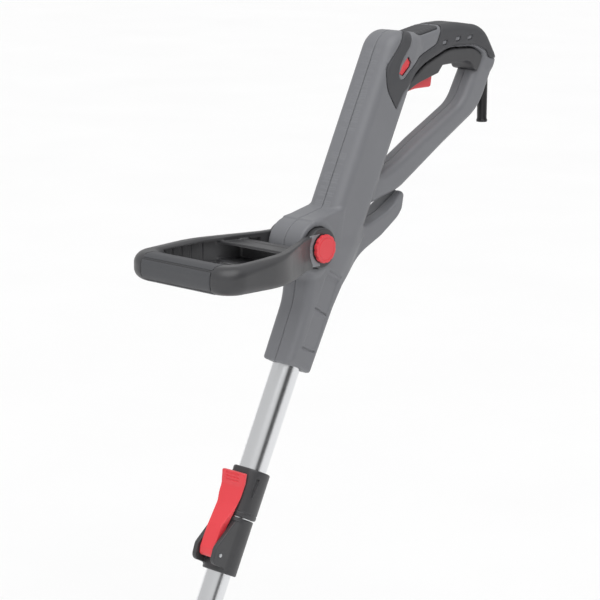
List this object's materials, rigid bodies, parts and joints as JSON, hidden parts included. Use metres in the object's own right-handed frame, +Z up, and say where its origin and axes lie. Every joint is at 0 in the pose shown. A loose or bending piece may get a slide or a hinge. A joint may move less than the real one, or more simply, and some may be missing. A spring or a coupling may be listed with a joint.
{
  "type": "string trimmer",
  "caption": "Corded string trimmer with a closed rear handle, adjustable loop handle, telescopic aluminium shaft, tilting motor head, guard and bump-feed spool.",
  "frame": {"origin": "middle of the main grip", "axes": "+Z up as held in use, -Y forward towards the cutting head, +X the operator's left"},
  "size_m": [0.2754, 0.7548, 0.9599],
  "materials": {
    "housing_abs": "fine moulded texture",
    "black_rubber": "soft matte overmould",
    "black_plastic": "moulded nylon",
    "red_plastic": "moulded, satin",
    "anodised_tube": "drawn and anodised",
    "steel": "zinc plated",
    "brass": "turned",
    "line_nylon": "monofilament",
    "laminations": "stacked sheet"
  },
  "bodies": {
    "housing": {"housing_left": "housing_abs", "housing_right": "housing_abs", "grip_overmould_left": "black_rubber", "grip_overmould_right": "black_rubber", "thumb_pad": "black_rubber", "grip_liner": "black_plastic", "cord_boot": "black_rubber", "housing_screws": "steel", "trigger_switch": "black_plastic", "cord_clamp": "black_plastic", "lock_off_spring": "steel", "aux_bolt": "steel", "upper_tube": "anodised_tube", "clamp_collar": "black_plastic", "clamp_body": "black_plastic", "clamp_pin": "steel", "clamp_jaw": "black_plastic", "coiled_lead": "black_rubber"},
    "trigger": {"trigger": "red_plastic"},
    "lock_off": {"lock_off_button": "red_plastic"},
    "aux_handle": {"aux_handle": "black_plastic", "aux_grip_sleeve": "black_rubber", "hub_plate": "housing_abs"},
    "aux_knob": {"aux_knob": "red_plastic", "knob_insert": "brass"},
    "clamp_lever": {"clamp_lever": "red_plastic"},
    "lower_shaft": {"lower_tube": "anodised_tube", "tube_guide_bush": "black_plastic", "tube_fork": "black_plastic", "tilt_pin": "steel"},
    "tilt_button": {"tilt_button": "red_plastic"},
    "head": {"motor_cover": "housing_abs", "motor_base": "black_plastic", "guard": "black_plastic", "guard_screws": "steel", "line_cutter": "steel", "motor_can": "laminations", "bearing_upper": "steel", "bearing_lower": "steel"},
    "spindle": {"rotor": "laminations", "cooling_fan": "black_plastic", "spool_carrier": "black_plastic", "line_spool": "black_plastic", "wound_line": "line_nylon", "line_ends": "line_nylon", "spool_cap": "black_plastic", "bump_spring": "steel"},
    "bump_button": {"bump_button": "red_plastic"},
    "plant_guard": {"plant_guard_wire": "steel"}
  },
  "joints": [
    {"name": "trigger_pull", "type": "hinge", "parent": "housing", "child": "trigger", "pos_m": [0, -0.08625, -0.03438], "axis": [1, 0, 0], "range_deg": [0, 10], "stiffness_Nm_per_rad": 0.6, "springref_deg": -11.46},
    {"name": "lock_off_press", "type": "slide", "parent": "housing", "child": "lock_off", "axis": [-1, 0, 0], "range_m": [0, 0.0035], "stiffness_N_per_m": 500, "springref_m": -0.002, "deforming": ["lock_off_spring"]},
    {"name": "aux_handle_tilt", "type": "hinge", "parent": "housing", "child": "aux_handle", "pos_m": [0, -0.2312, -0.17991], "axis": [1, 0, 0], "range_deg": [-20, 35]},
    {"name": "aux_knob_turn", "type": "hinge", "parent": "housing", "child": "aux_knob", "pos_m": [0, -0.2312, -0.17991], "axis": [1, 0, 0], "range_deg": [0, 180]},
    {"name": "clamp_lever_flip", "type": "hinge", "parent": "housing", "child": "clamp_lever", "pos_m": [0, -0.36272, -0.46514], "axis": [1, 0, 0], "range_deg": [0, 110]},
    {"name": "shaft_slide", "type": "slide", "parent": "housing", "child": "lower_shaft", "axis": [0, 0.4571, 0.8894], "range_m": [0, 0.2], "deforming": ["coiled_lead"]},
    {"name": "tilt_button_press", "type": "slide", "parent": "lower_shaft", "child": "tilt_button", "axis": [-1, 0, 0], "range_m": [0, 0.002], "stiffness_N_per_m": 500, "springref_m": -0.002},
    {"name": "head_tilt", "type": "hinge", "parent": "lower_shaft", "child": "head", "pos_m": [0, -0.50885, -0.79761], "axis": [1, 0, 0], "range_deg": [-15, 35]},
    {"name": "spindle_spin", "type": "hinge", "parent": "head", "child": "spindle", "pos_m": [0, -0.56085, -0.85761], "axis": [0, 0, 1], "continuous": true},
    {"name": "bump_press", "type": "slide", "parent": "spindle", "child": "bump_button", "axis": [0, 0, 1], "range_m": [0, 0.005], "stiffness_N_per_m": 600, "springref_m": -0.003, "deforming": ["bump_spring"]},
    {"name": "plant_guard_fold", "type": "hinge", "parent": "head", "child": "plant_guard", "pos_m": [0, -0.56085, -0.85961], "axis": [1, 0, 0], "range_deg": [-95, 0]}
  ]
}
